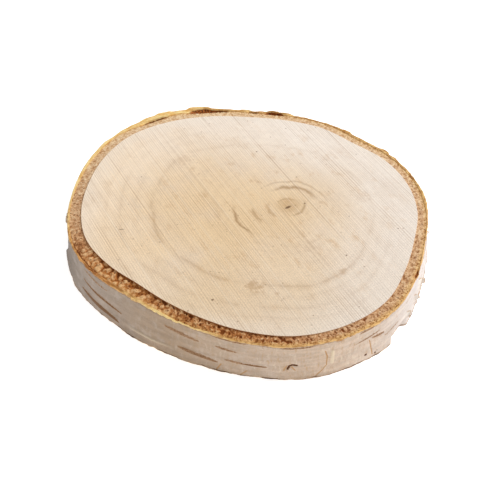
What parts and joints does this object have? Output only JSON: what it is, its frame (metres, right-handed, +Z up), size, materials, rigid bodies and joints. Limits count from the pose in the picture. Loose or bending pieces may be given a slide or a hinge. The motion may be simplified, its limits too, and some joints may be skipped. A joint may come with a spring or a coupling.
{
  "type": "birch wood slice",
  "caption": "Disc sawn square across a thin birch trunk, bark left on: pale saw-marked wood inside a ring of crumbly inner bark, cork and peeling white paper bark.",
  "frame": {"origin": "under the middle of the slice's outline, on the surface that its lower sawn face rests on", "axes": "+Z up, along the trunk and square to both sawn faces; +X to the right and +Y away as the picture shows the slice lying; the outline has no symmetry"},
  "size_m": [0.1139, 0.1111, 0.015],
  "materials": {
    "sawn_wood": "matte",
    "bark": "matte"
  },
  "bodies": {
    "root": {"birch_slice": "sawn_wood"}
  },
  "joints": []
}
